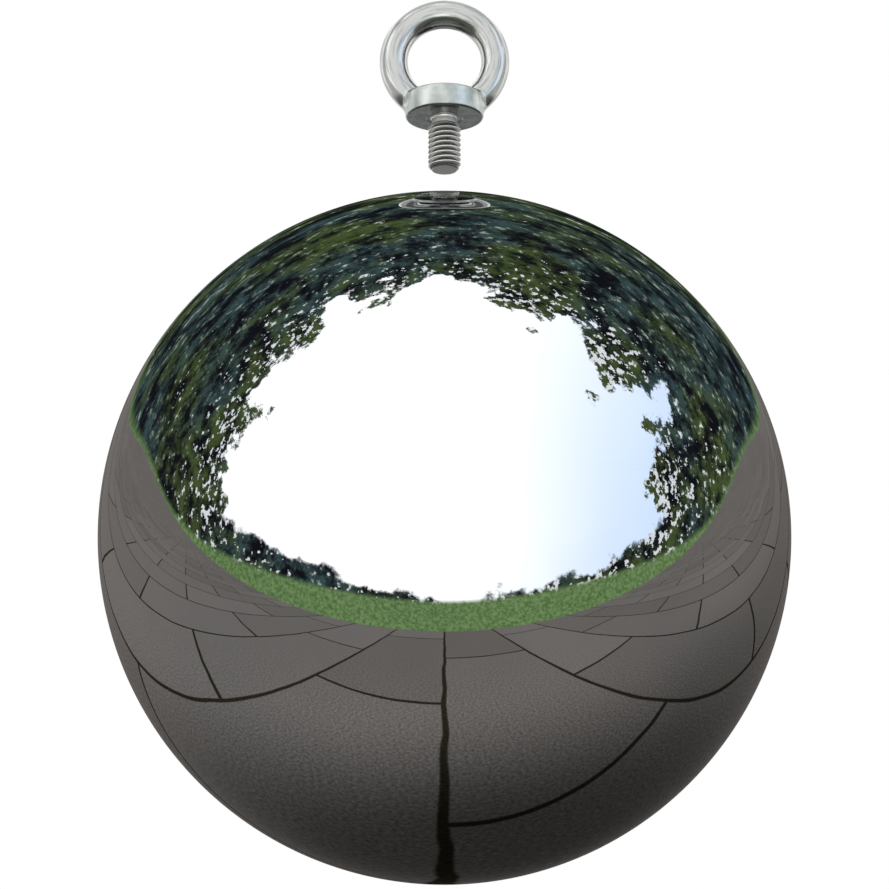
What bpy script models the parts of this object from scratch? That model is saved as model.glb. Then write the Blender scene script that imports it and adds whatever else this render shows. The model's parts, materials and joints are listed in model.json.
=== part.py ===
"""A mirror-polished hollow steel ball that hangs from a screw-in eye bolt.

The eye bolt is one forging: ring, collar, undercut neck and M8 threaded shank. The ball is two pressed
hemispheres joined by a flush seam weld, with a threaded boss welded under the hole in its top.
The origin is the inner crown of the ring, where a hook bears, and +Z is up. The bolt stands unscrewed,
lifted clear of the ball, and the ball climbs onto it along the thread's own helix.
"""
import math

import bmesh
import bpy
from mathutils import Matrix, Vector

MM = 0.001

# Ball
BALL_RADIUS = 80.0 * MM
WALL = 0.8 * MM
TOP_HOLE_RADIUS = 6.0 * MM
SEAM_HALF_GAP = 0.7 * MM

# Metric thread that the bolt and the boss share: M8, coarse pitch
THREAD_RADIUS = 3.95 * MM
THREAD_PITCH = 1.25 * MM
THREAD_DEPTH = 0.767 * MM
CREST_FLAT = THREAD_PITCH / 8
ROOT_FLAT = THREAD_PITCH / 4
RADIAL_CLEARANCE = 0.12 * MM
FLANK_CLEARANCE = 0.10 * MM

# Eye bolt
RING_HOLE_RADIUS = 9.0 * MM
RING_SECTION_RADIUS = 3.42 * MM
RING_CENTRE_ABOVE_SEAT = 14.65 * MM
COLLAR_RADIUS = 9.5 * MM
COLLAR_HEIGHT = 5.6 * MM
COLLAR_EDGE = 0.5 * MM
SEAT_HOLE_RADIUS = 4.5 * MM  # a clear hole for the shank, round which the seat bears
SEAT_RELIEF = 0.15 * MM  # how far the underside is hollowed inside that hole
RING_CUT_HEIGHT = 1.0 * MM  # above the seat, so that the ring ends inside the collar
NECK_RADIUS = 3.1 * MM
NECK_LENGTH = 1.7 * MM
SHANK_LENGTH = 13.4 * MM
TIP_CHAMFER = 1.0 * MM

# Boss and its weld
BOSS_RADIUS = 8.0 * MM
BOSS_LENGTH = 15.0 * MM
BOSS_CHAMFER = 0.6 * MM
SPIGOT_RADIUS = 5.7 * MM
COUNTERSINK = 0.6 * MM
TAPPING_STOCK = 1.0 * MM  # how far the blank's bore stands inside the thread that is then cut
WELD_LEG = 3.0 * MM
WELD_HOLLOW_OUT = 0.38 * WELD_LEG  # the middle of the weld's face, out from the boss
WELD_HOLLOW_DOWN = 0.42 * WELD_LEG  # and down from the wall

# Equator weld
SEAM_HALF_WIDTH = 0.4 * MM
BEAD_HALF_WIDTH = 1.2 * MM
BEAD_DEPTH = 1.3 * MM

# Clear distance between pieces that a weld or a seat holds together
GAP = 0.3 * MM
BOSS_GAP = 0.4 * MM

# Screw travel from the lifted bolt to the collar resting on the ball
SCREW_TURNS = 18.75
SCREW_TRAVEL = SCREW_TURNS * THREAD_PITCH

# Facets
BALL_SEGMENTS = 48
SHELL_STEPS = 12
SMALL_SEGMENTS = 24
RING_SEGMENTS = 48
RING_SECTION_SEGMENTS = 16
EDGE_STEPS = 3
SHARP_ANGLE = math.radians(30)
MERGE = 1e-6

# Heights, counted from the origin at the ring's inner crown
RING_CENTRE_Z = -RING_HOLE_RADIUS
SEAT_Z = RING_CENTRE_Z - RING_CENTRE_ABOVE_SEAT
HOLE_EDGE_HEIGHT = math.sqrt(BALL_RADIUS ** 2 - TOP_HOLE_RADIUS ** 2)
BALL_CENTRE_Z = SEAT_Z - SCREW_TRAVEL - GAP - HOLE_EDGE_HEIGHT


def clear_scene():
    """Removes every object that the file opened with."""
    for obj in list(bpy.data.objects):
        bpy.data.objects.remove(obj, do_unlink=True)


def steel(name, colour, roughness):
    """One Principled BSDF steel finish."""
    material = bpy.data.materials.new(name)
    material.use_nodes = True
    shader = material.node_tree.nodes["Principled BSDF"]
    shader.inputs["Base Color"].default_value = (*colour, 1.0)
    shader.inputs["Roughness"].default_value = roughness
    shader.inputs["Metallic"].default_value = 1.0
    return material


def arc(centre, radius, start, end, steps):
    """Points (r, z) on a circular arc, with both ends, angles in radians from the +r direction."""
    angles = [start + (end - start) * i / steps for i in range(steps + 1)]
    return [(centre[0] + radius * math.cos(a), centre[1] + radius * math.sin(a)) for a in angles]


def link(name, mesh, place, parent=None):
    """A mesh object at place, which is given in world metres, under an optional parent."""
    obj = bpy.data.objects.new(name, mesh)
    bpy.context.collection.objects.link(obj)
    obj.parent = parent
    obj.location = Vector(place) - (parent.location if parent else Vector())
    return obj


def axis_empty(name, height):
    """An empty on the screw axis, which carries the pieces that move together."""
    empty = bpy.data.objects.new(name, None)
    bpy.context.collection.objects.link(empty)
    empty.location = (0.0, 0.0, height)
    return empty


def dress(obj, material):
    """Gives an object its finish and shades its round surfaces smooth."""
    obj.data.materials.clear()
    obj.data.materials.append(material)
    obj.data.shade_smooth()
    obj.data.set_sharp_from_angle(angle=SHARP_ANGLE)


def turned_mesh(name, profile, segments, closed=True):
    """Turns an outline of (r, z) points about Z. An open outline starts and ends on the axis."""
    bm = bmesh.new()
    points = [bm.verts.new((r, 0.0, z)) for r, z in profile]
    pairs = list(zip(points, points[1:]))
    if closed:
        pairs.append((points[-1], points[0]))
    edges = [bm.edges.new(pair) for pair in pairs]
    bmesh.ops.spin(
        bm, geom=points + edges, cent=(0, 0, 0), axis=(0, 0, 1), angle=2 * math.pi,
        steps=segments, use_merge=True
    )
    bmesh.ops.remove_doubles(bm, verts=bm.verts, dist=MERGE)
    bmesh.ops.recalc_face_normals(bm, faces=bm.faces)
    mesh = bpy.data.meshes.new(name)
    bm.to_mesh(mesh)
    bm.free()
    return mesh


def thread_rod_mesh(name, low, high, radial=0.0, flank=0.0):
    """A closed rod with the helical thread, longer than low to high by up to a turn at each end.

    One pitch of the thread's outline is carried up the helix, and each turn meets the next. Height grows by
    one pitch a turn from the seat plane, so every rod made here lies on the same endless helix.
    """
    root = THREAD_RADIUS - THREAD_DEPTH + radial
    crest = THREAD_RADIUS + radial
    half_crest = CREST_FLAT / 2 + flank
    half_root = ROOT_FLAT / 2 - flank
    first = math.floor((low - SEAT_Z) / THREAD_PITCH) - 1
    last = math.ceil((high - SEAT_Z) / THREAD_PITCH) + 1
    start = SEAT_Z + first * THREAD_PITCH
    outline = [
        (root, start + half_root),
        (crest, start + THREAD_PITCH / 2 - half_crest),
        (crest, start + THREAD_PITCH / 2 + half_crest),
        (root, start + THREAD_PITCH - half_root),
        (root, start + THREAD_PITCH + half_root),
    ]
    bm = bmesh.new()
    points = [bm.verts.new((r, 0.0, z)) for r, z in outline]
    edges = [bm.edges.new(pair) for pair in zip(points, points[1:])]
    bmesh.ops.spin(
        bm, geom=points + edges, cent=(0, 0, 0), axis=(0, 0, 1), angle=2 * math.pi * (last - first),
        dvec=(0, 0, THREAD_PITCH / SMALL_SEGMENTS), steps=SMALL_SEGMENTS * (last - first)
    )
    bmesh.ops.remove_doubles(bm, verts=bm.verts, dist=MERGE)
    middle = (low + high) / 2
    rims = [[], []]
    for edge in [e for e in bm.edges if e.is_boundary]:
        rims[edge.verts[0].co.z > middle].append(edge)
    for rim in rims:
        height = sum(v.co.z for e in rim for v in e.verts) / (2 * len(rim))
        hub = bm.verts.new((0.0, 0.0, height))
        for edge in rim:
            bm.faces.new((edge.verts[0], edge.verts[1], hub))
    bmesh.ops.recalc_face_normals(bm, faces=bm.faces)
    mesh = bpy.data.meshes.new(name)
    bm.to_mesh(mesh)
    bm.free()
    return mesh


def cutter(name, outline):
    """A turned solid that only shapes another one, from an open outline that starts and ends on the axis."""
    return link(name, turned_mesh(name, outline, SMALL_SEGMENTS, closed=False), (0, 0, 0))


def combine(obj, other, operation):
    """Joins, cuts or trims obj with other by an exact Boolean, applies it and drops other."""
    modifier = obj.modifiers.new(operation.lower(), "BOOLEAN")
    modifier.operation = operation
    modifier.solver = "EXACT"
    modifier.object = other
    bpy.context.view_layer.update()
    result = bpy.data.meshes.new_from_object(obj.evaluated_get(bpy.context.evaluated_depsgraph_get()))
    obj.modifiers.clear()
    obj.data = result
    bpy.data.objects.remove(other, do_unlink=True)


def shell_arcs(far_radius):
    """The wall's two arcs in the upper half: outer from rim to far end, and inner from far end to rim.

    far_radius is the distance from the axis where the wall ends, 0 at a closed pole.
    """
    inner_radius = BALL_RADIUS - WALL
    outer = arc((0, 0), BALL_RADIUS, math.asin(SEAM_HALF_GAP / BALL_RADIUS),
                math.acos(far_radius / BALL_RADIUS), SHELL_STEPS)
    inner = arc((0, 0), inner_radius, math.acos(far_radius / inner_radius),
                math.asin(SEAM_HALF_GAP / inner_radius), SHELL_STEPS)
    return outer, inner


def make_upper_shell(parent, material):
    """Upper half of the ball, with a round hole at its pole for the boss."""
    outer, inner = shell_arcs(TOP_HOLE_RADIUS)
    mesh = turned_mesh("upper_shell", outer + inner, BALL_SEGMENTS)
    dress(link("upper_shell", mesh, (0, 0, BALL_CENTRE_Z), parent), material)


def make_lower_shell(parent, material):
    """Lower half of the ball, closed at its pole: its outline runs from inner pole to rim to outer pole."""
    outer, inner = shell_arcs(0.0)
    outline = [(r, -z) for r, z in inner + outer]
    mesh = turned_mesh("lower_shell", outline, BALL_SEGMENTS, closed=False)
    dress(link("lower_shell", mesh, (0, 0, BALL_CENTRE_Z), parent), material)


def make_equator_weld(parent, material):
    """Seam weld: flush with the ball outside, and a rounded bead inside that bridges both rims."""
    neck = BALL_RADIUS - WALL - GAP
    bead = arc((neck - BEAD_DEPTH / 2, 0), BEAD_DEPTH / 2, math.pi / 2, 3 * math.pi / 2, 2 * EDGE_STEPS)
    stretch = BEAD_HALF_WIDTH / (BEAD_DEPTH / 2)
    outline = [(BALL_RADIUS, -SEAM_HALF_WIDTH), (BALL_RADIUS, SEAM_HALF_WIDTH), (neck, SEAM_HALF_WIDTH)]
    outline += [(r, z * stretch) for r, z in bead]
    outline += [(neck, -SEAM_HALF_WIDTH)]
    mesh = turned_mesh("equator_weld", outline, BALL_SEGMENTS)
    dress(link("equator_weld", mesh, (0, 0, BALL_CENTRE_Z), parent), material)


def inside_height(radius):
    """Height above the ball's centre of the inner wall at a distance from the axis."""
    return math.sqrt((BALL_RADIUS - WALL) ** 2 - radius ** 2)


def make_threaded_boss(parent, material):
    """Round boss whose spigot fills the shell's hole, bored through with the clearance thread."""
    top = HOLE_EDGE_HEIGHT
    bottom = top - BOSS_LENGTH
    core = THREAD_RADIUS - THREAD_DEPTH - TAPPING_STOCK
    outline = [
        (core, bottom),
        (BOSS_RADIUS - BOSS_CHAMFER, bottom),
        (BOSS_RADIUS, bottom + BOSS_CHAMFER),
        (BOSS_RADIUS, inside_height(BOSS_RADIUS) - BOSS_GAP),
        (SPIGOT_RADIUS, inside_height(SPIGOT_RADIUS) - BOSS_GAP),
        (SPIGOT_RADIUS, top),
        (THREAD_RADIUS + COUNTERSINK, top),
        (core, top - COUNTERSINK - THREAD_RADIUS + core),
    ]
    outline = [(r, BALL_CENTRE_Z + z) for r, z in outline]
    boss = link("threaded_boss", turned_mesh("threaded_boss", outline, SMALL_SEGMENTS), (0, 0, 0))
    rod = thread_rod_mesh(
        "boss_tap", BALL_CENTRE_Z + bottom, BALL_CENTRE_Z + top, RADIAL_CLEARANCE, FLANK_CLEARANCE
    )
    combine(boss, link("boss_tap", rod, (0, 0, 0)), "DIFFERENCE")
    boss.data.transform(Matrix.Translation((0, 0, -BALL_CENTRE_Z)))
    boss.parent = parent
    dress(boss, material)


def make_boss_weld(parent, material):
    """Fillet weld in the corner between the boss's side and the inner wall."""
    near = BOSS_RADIUS + GAP
    far = near + WELD_LEG
    corner = (near, inside_height(near) - BOSS_GAP)
    outer = (far, inside_height(far) - BOSS_GAP)
    lower = (near, corner[1] - WELD_LEG)
    hollow = (near + WELD_HOLLOW_OUT, corner[1] - WELD_HOLLOW_DOWN)
    mesh = turned_mesh("boss_weld", [lower, hollow, outer, corner], SMALL_SEGMENTS)
    dress(link("boss_weld", mesh, (0, 0, BALL_CENTRE_Z), parent), material)


def collar_outline():
    """Drum of the collar: shallow relief round the neck, flat seat, side and top, with round edges."""
    top = SEAT_Z + COLLAR_HEIGHT
    side = COLLAR_RADIUS - COLLAR_EDGE
    low_edge = arc((side, SEAT_Z + COLLAR_EDGE), COLLAR_EDGE, -math.pi / 2, 0, EDGE_STEPS)
    high_edge = arc((side, top - COLLAR_EDGE), COLLAR_EDGE, 0, math.pi / 2, EDGE_STEPS)
    relief = [(0, SEAT_Z + SEAT_RELIEF), (SEAT_HOLE_RADIUS - SEAT_RELIEF, SEAT_Z + SEAT_RELIEF)]
    return relief + [(SEAT_HOLE_RADIUS, SEAT_Z)] + low_edge + high_edge + [(0, top)]


def shank_outline():
    """Envelope of the threaded shank: chamfered end, straight side and a cone up to the neck."""
    tip = SEAT_Z - SHANK_LENGTH
    thread_top = SEAT_Z - NECK_LENGTH
    side = THREAD_RADIUS + THREAD_DEPTH / 2
    tip_chamfer = TIP_CHAMFER + side - THREAD_RADIUS
    cone = side - NECK_RADIUS
    return [(0, tip), (side - tip_chamfer, tip), (side, tip + tip_chamfer), (side, thread_top - cone),
            (NECK_RADIUS, thread_top), (0, thread_top)]


def make_eye_bolt(material):
    """One forging: a ring on a drum collar, above the neck and the threaded shank."""
    bpy.ops.mesh.primitive_torus_add(
        major_segments=RING_SEGMENTS, minor_segments=RING_SECTION_SEGMENTS,
        major_radius=RING_HOLE_RADIUS + RING_SECTION_RADIUS, minor_radius=RING_SECTION_RADIUS,
        rotation=(math.pi / 2, 0, 0), location=(0, 0, RING_CENTRE_Z)
    )
    ring = bpy.context.active_object
    combine(ring, cutter("ring_trim", trim_outline()), "DIFFERENCE")
    collar = turned_mesh("eye_bolt", collar_outline(), RING_SEGMENTS, closed=False)
    bolt = link("eye_bolt", collar, (0, 0, 0))
    combine(bolt, ring, "UNION")
    shank = link("shank", thread_rod_mesh("shank", SEAT_Z - SHANK_LENGTH, SEAT_Z), (0, 0, 0))
    combine(shank, cutter("envelope", shank_outline()), "INTERSECT")
    combine(shank, cutter("neck", neck_outline()), "UNION")
    combine(bolt, shank, "UNION")
    dress(bolt, material)


def trim_outline():
    """Everything of the ring that would stand below the collar, up to a height inside the collar."""
    side = COLLAR_RADIUS - COLLAR_EDGE * 2
    low = SEAT_Z - RING_SECTION_RADIUS
    high = SEAT_Z + RING_CUT_HEIGHT
    return [(0, low), (side, low), (side, high), (0, high)]


def neck_outline():
    """Undercut neck, which runs a little way into the collar and into the shank."""
    overlap = THREAD_PITCH
    low = SEAT_Z - NECK_LENGTH - overlap
    high = SEAT_Z + overlap
    return [(0, low), (NECK_RADIUS, low), (NECK_RADIUS, high), (0, high)]


def main():
    """Builds the eye bolt and the ball."""
    clear_scene()
    mirror = steel("mirror_polished_steel", (0.92, 0.92, 0.93), 0.03)
    satin = steel("satin_steel", (0.62, 0.62, 0.60), 0.28)
    machined = steel("machined_steel", (0.55, 0.55, 0.54), 0.35)
    weld = steel("weld_bead", (0.50, 0.48, 0.45), 0.45)
    ball_axis = axis_empty("ball_axis", BALL_CENTRE_Z)
    make_eye_bolt(satin)
    make_upper_shell(ball_axis, mirror)
    make_lower_shell(ball_axis, mirror)
    make_equator_weld(ball_axis, weld)
    make_threaded_boss(ball_axis, machined)
    make_boss_weld(ball_axis, weld)


main()
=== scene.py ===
"""Looks for a hollow mirror ball that hangs from a screw-in eye bolt.

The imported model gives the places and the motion. Each class below is one sub-assembly of the real object:
the forged eye bolt, the pressed ball with its seam, and the boss that is welded under its top. Every new
surface is a function of two parameters, worked out as whole arrays. Lengths in the classes are in millimetres
and are turned to metres where a mesh is made.
"""
from __future__ import annotations

import json
import logging
import math
from dataclasses import dataclass, field
from enum import Enum

import bpy
import numpy as np
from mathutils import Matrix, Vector

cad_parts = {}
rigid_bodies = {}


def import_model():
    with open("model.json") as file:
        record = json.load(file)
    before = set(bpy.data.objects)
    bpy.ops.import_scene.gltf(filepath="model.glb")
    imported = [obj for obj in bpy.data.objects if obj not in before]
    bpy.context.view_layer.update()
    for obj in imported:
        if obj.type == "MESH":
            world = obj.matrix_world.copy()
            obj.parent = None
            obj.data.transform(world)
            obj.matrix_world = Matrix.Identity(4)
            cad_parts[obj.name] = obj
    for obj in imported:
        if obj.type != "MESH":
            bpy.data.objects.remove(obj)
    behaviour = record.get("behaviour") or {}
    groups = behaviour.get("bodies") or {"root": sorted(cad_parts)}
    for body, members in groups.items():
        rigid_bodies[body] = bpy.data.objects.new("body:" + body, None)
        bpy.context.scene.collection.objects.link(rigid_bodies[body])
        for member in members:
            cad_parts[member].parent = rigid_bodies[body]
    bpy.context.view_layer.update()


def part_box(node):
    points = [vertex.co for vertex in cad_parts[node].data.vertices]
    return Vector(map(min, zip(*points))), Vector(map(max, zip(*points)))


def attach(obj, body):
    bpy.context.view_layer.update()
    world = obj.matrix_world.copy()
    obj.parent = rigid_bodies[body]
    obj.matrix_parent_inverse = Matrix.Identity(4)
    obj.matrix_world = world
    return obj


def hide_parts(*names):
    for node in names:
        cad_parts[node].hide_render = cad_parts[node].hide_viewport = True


LOG = logging.getLogger("mirror_ball")
MM = 0.001
SHARP_ANGLE = math.radians(35)


class Body(Enum):
    """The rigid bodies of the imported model."""

    BOLT = "eye_bolt"
    SEAM = "seam"
    BALL = "ball"


class Slot(Enum):
    """The record's material slots."""

    MIRROR = "mirror_steel"
    BOLT = "eye_bolt_steel"
    MACHINED = "machined_steel"
    SEAM = "seam_weld"
    FILLET = "fillet_weld"


# ------------------------------------------------------------------------------------------ colour and nodes


def linear(hex_colour: str) -> tuple[float, float, float, float]:
    """Turns an sRGB hex colour to linear RGBA.

    Args:
        hex_colour: six hex digits after a hash.

    Returns:
        Red, green and blue in linear light, and alpha 1.
    """
    values = [int(hex_colour[i:i + 2], 16) / 255 for i in (1, 3, 5)]
    linear_values = [v / 12.92 if v <= 0.04045 else ((v + 0.055) / 1.055) ** 2.4 for v in values]
    return (*linear_values, 1.0)


def per_metre(size_mm: float) -> float:
    """Texture scale for a pattern whose features are size_mm apart on Object coordinates in metres."""
    return 1.0 / (size_mm * MM)


def add(tree: bpy.types.NodeTree, kind: str, *values: object, **named: object) -> bpy.types.Node:
    """Adds a node, sets it up and links it.

    Args:
        tree: the node tree to add to.
        kind: the node's type name, without the ShaderNode prefix.
        values: what the inputs in use take, in order: a number or colour, a socket or a node to link, or None
            to leave an input as it is.
        named: the node's own settings in lower case, and inputs by name, with a capital letter and with
            underscores for spaces.

    Returns:
        The new node. Where it is given as a value, its first output in use is linked.
    """
    node = tree.nodes.new("ShaderNode" + kind)
    for name, value in named.items():
        if name[0].islower():
            setattr(node, name, value)
    given = list(zip([socket for socket in node.inputs if socket.enabled], values))
    inputs = {name.replace("_", " "): value for name, value in named.items() if name[0].isupper()}
    given += [(node.inputs[name], value) for name, value in inputs.items()]
    for socket, value in given:
        if isinstance(value, bpy.types.Node):
            value = next(output for output in value.outputs if output.enabled)
        if isinstance(value, bpy.types.NodeSocket):
            tree.links.new(value, socket)
        elif value is not None:
            socket.default_value = value
    return node


# Node settings that many nodes share, and the levels that a noise seldom leaves.
SMOOTH = {"interpolation_type": "SMOOTHSTEP"}
COLOUR = {"data_type": "RGBA"}
NOISE_SPAN = (0.3, 0.7)
ACROSS_THE_AXIS = (1.0, 1.0, 0.0)

# How deep a ray is when it meets the world: once off metal, and twice.
ONE_BOUNCE_TO_TWO = (2.0, 3.0)


# -------------------------------------------------------------------------------------------------- finishes


@dataclass(frozen=True)
class Metal:
    """A bare metal finish: the base that every finish here shares.

    In every finish, a field that ends in _mm is a real size, one that ends in _span is the pair of noise
    levels between which a change takes place, and one that ends in _rise is how much roughness it adds.

    Attributes:
        name: the material's name.
        colour: sRGB hex of the clean metal seen face on.
        roughness: microfacet roughness.
    """

    name: str
    colour: str
    roughness: float

    def start(self) -> tuple[bpy.types.Material, bpy.types.NodeTree, bpy.types.NodeSocket]:
        """Makes an empty material.

        Returns:
            The material, its node tree and its Object coordinates.
        """
        material = bpy.data.materials.new(self.name)
        material.use_nodes = True
        tree = material.node_tree
        tree.nodes.clear()
        return material, tree, add(tree, "TexCoord").outputs["Object"]

    @staticmethod
    def close(tree: bpy.types.NodeTree, colour: object, rough: object, normal: bpy.types.Node) -> None:
        """Adds the shader, all metal, and the output."""
        shader = add(tree, "BsdfPrincipled", Base_Color=colour, Metallic=1.0, Roughness=rough, Normal=normal)
        add(tree, "OutputMaterial", shader)


@dataclass(frozen=True)
class MirrorPolish(Metal):
    """Stainless steel 304, pressed, welded and buffed to a mirror on a lathe.

    The eye sees a clean reflection with a very faint long waviness from pressing, and hairlines of the buff
    round the vertical axis that show only as a slightly softer edge on bright reflections.
    """

    haze: str = "#D5D7D9"
    haze_mm: float = 34.0
    haze_span: tuple[float, float] = (0.4, 0.7)
    wave_mm: float = 26.0
    wave_depth_mm: float = 0.004
    hairline_mm: float = 0.35
    hairline_stretch: float = 0.04
    hairline_span: tuple[float, float] = (0.35, 0.75)
    hairline_gain: float = 1.9

    def build(self) -> bpy.types.Material:
        """Mirror steel with buffing haze, hairlines in its roughness and a long waviness.

        Returns:
            The material.
        """
        material, tree, place = self.start()
        along = add(tree, "Mapping", place, Scale=(self.hairline_stretch, self.hairline_stretch, 1.0))
        hairline = add(tree, "TexNoise", along, Scale=per_metre(self.hairline_mm), Detail=3.0)
        dullest = self.roughness * self.hairline_gain
        rough = add(tree, "MapRange", hairline, *self.hairline_span, self.roughness, dullest)
        cloud = add(tree, "TexNoise", place, Scale=per_metre(self.haze_mm), Detail=2.0)
        share = add(tree, "MapRange", cloud, *self.haze_span, **SMOOTH)
        colour = add(tree, "Mix", share, linear(self.colour), linear(self.haze), **COLOUR)
        wave = add(tree, "TexNoise", place, Scale=per_metre(self.wave_mm), Detail=1.0)
        bump = add(tree, "Bump", Height=wave, Strength=1.0, Distance=self.wave_depth_mm * MM)
        self.close(tree, colour, rough, bump)
        return material


@dataclass(frozen=True)
class PressedInside(Metal):
    """The unpolished inside of the ball: cold-rolled stainless sheet, dull, with marks from the press."""

    blotch: str = "#8F8D88"
    blotch_mm: float = 18.0
    blotch_span: tuple[float, float] = (0.35, 0.7)
    grain_mm: float = 0.8
    grain_depth_mm: float = 0.02
    grain_rise: float = 0.16

    def build(self) -> bpy.types.Material:
        """Dull sheet with blotches of two greys and a fine grain.

        Returns:
            The material.
        """
        material, tree, place = self.start()
        grain = add(tree, "TexNoise", place, Scale=per_metre(self.grain_mm), Detail=5.0)
        cloud = add(tree, "TexNoise", place, Scale=per_metre(self.blotch_mm), Detail=2.0)
        share = add(tree, "MapRange", cloud, *self.blotch_span, **SMOOTH)
        colour = add(tree, "Mix", share, linear(self.blotch), linear(self.colour), **COLOUR)
        rough = add(tree, "MapRange", grain, *NOISE_SPAN, self.roughness, self.roughness + self.grain_rise)
        bump = add(tree, "Bump", Height=grain, Strength=0.4, Distance=self.grain_depth_mm * MM)
        self.close(tree, colour, rough, bump)
        return material


@dataclass(frozen=True)
class BeltPolishedForging(Metal):
    """Stainless 304, drop-forged and belt-polished round the ring, as a lifting eye is.

    The eye sees long soft highlights that follow the ring, a skin that is slightly uneven from the die, and
    short dull streaks that run with the belt. It reads a UV map in metres, first along and then round.
    """

    shade: str = "#858785"
    streak_mm: tuple[float, float] = (7.0, 0.55)
    streak_depth_mm: float = 0.006
    streak_span: tuple[float, float] = (0.46, 0.70)
    streak_rise: float = 0.1
    skin_mm: float = 4.5
    skin_depth_mm: float = 0.05

    def build(self) -> bpy.types.Material:
        """Bright metal with dull streaks along the belt and an uneven skin.

        Returns:
            The material.
        """
        material, tree, place = self.start()
        stretch = tuple(per_metre(size) for size in self.streak_mm) + (1.0,)
        along = add(tree, "Mapping", add(tree, "UVMap", uv_map="unrolled"), Scale=stretch)
        streak = add(tree, "TexNoise", along, Scale=1.0, Detail=4.0, Roughness=0.55)
        skin = add(tree, "TexNoise", place, Scale=per_metre(self.skin_mm), Detail=1.5, Roughness=0.4)
        dull = add(tree, "MapRange", streak, *self.streak_span, **SMOOTH)
        colour = add(tree, "Mix", dull, linear(self.colour), linear(self.shade), **COLOUR)
        rough = add(tree, "MapRange", dull, 0.0, 1.0, self.roughness, self.roughness + self.streak_rise)
        fine = add(tree, "Bump", Height=streak, Strength=0.6, Distance=self.streak_depth_mm * MM)
        broad = add(tree, "Bump", Height=skin, Strength=0.7, Distance=self.skin_depth_mm * MM, Normal=fine)
        self.close(tree, colour, rough, broad)
        return material


@dataclass(frozen=True)
class BlastedForging(Metal):
    """Stainless 304, drop-forged and bead-blasted, then only wiped over with a belt.

    The eye sees a pale, even, slightly grey-green metal with soft broad highlights and fine pits.
    """

    shade: str = "#959B97"
    shade_span: tuple[float, float] = (0.55, 0.85)
    pit_mm: float = 0.28
    pit_depth_mm: float = 0.012
    pit_share: float = 0.4
    pit_rise: float = 0.1
    skin_mm: float = 3.0
    skin_depth_mm: float = 0.03

    def build(self) -> bpy.types.Material:
        """Pale metal with fine pits over an uneven skin.

        Returns:
            The material.
        """
        material, tree, place = self.start()
        pits = add(tree, "TexNoise", place, Scale=per_metre(self.pit_mm), Detail=3.0, Roughness=0.6)
        skin = add(tree, "TexNoise", place, Scale=per_metre(self.skin_mm), Detail=2.0, Roughness=0.5)
        both = add(tree, "Math", pits, self.pit_share, skin, operation="MULTIPLY_ADD")
        tone = add(tree, "MapRange", both, *self.shade_span, **SMOOTH)
        colour = add(tree, "Mix", tone, linear(self.shade), linear(self.colour), **COLOUR)
        rough = add(tree, "MapRange", pits, *NOISE_SPAN, self.roughness, self.roughness + self.pit_rise)
        fine = add(tree, "Bump", Height=pits, Strength=0.5, Distance=self.pit_depth_mm * MM)
        broad = add(tree, "Bump", Height=skin, Strength=0.6, Distance=self.skin_depth_mm * MM, Normal=fine)
        self.close(tree, colour, rough, broad)
        return material


@dataclass(frozen=True)
class FacedSeat(Metal):
    """The underside of the collar, faced flat on a lathe.

    The eye sees a darker, smoother metal that mirrors the shank softly, with fine rings from the tool.
    """

    shade: str = "#7E8482"
    stain_mm: float = 2.4
    stain_span: tuple[float, float] = (0.38, 0.66)
    feed_mm: float = 0.16
    feed_depth_mm: float = 0.003
    feed_rise: float = 0.08

    def build(self) -> bpy.types.Material:
        """Turned metal: rings by distance from the axis, and a few faint stains.

        Returns:
            The material.
        """
        material, tree, place = self.start()
        flat = add(tree, "VectorMath", place, ACROSS_THE_AXIS, operation="MULTIPLY")
        radius = add(tree, "VectorMath", flat, operation="LENGTH")
        rings = add(tree, "TexNoise", W=radius, Scale=per_metre(self.feed_mm), Detail=2.0,
                    noise_dimensions="1D")
        stain = add(tree, "TexNoise", place, Scale=per_metre(self.stain_mm), Detail=3.0)
        share = add(tree, "MapRange", stain, *self.stain_span, **SMOOTH)
        colour = add(tree, "Mix", share, linear(self.shade), linear(self.colour), **COLOUR)
        rough = add(tree, "MapRange", rings, *NOISE_SPAN, self.roughness, self.roughness + self.feed_rise)
        bump = add(tree, "Bump", Height=rings, Strength=0.5, Distance=self.feed_depth_mm * MM)
        self.close(tree, colour, rough, bump)
        return material


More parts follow.
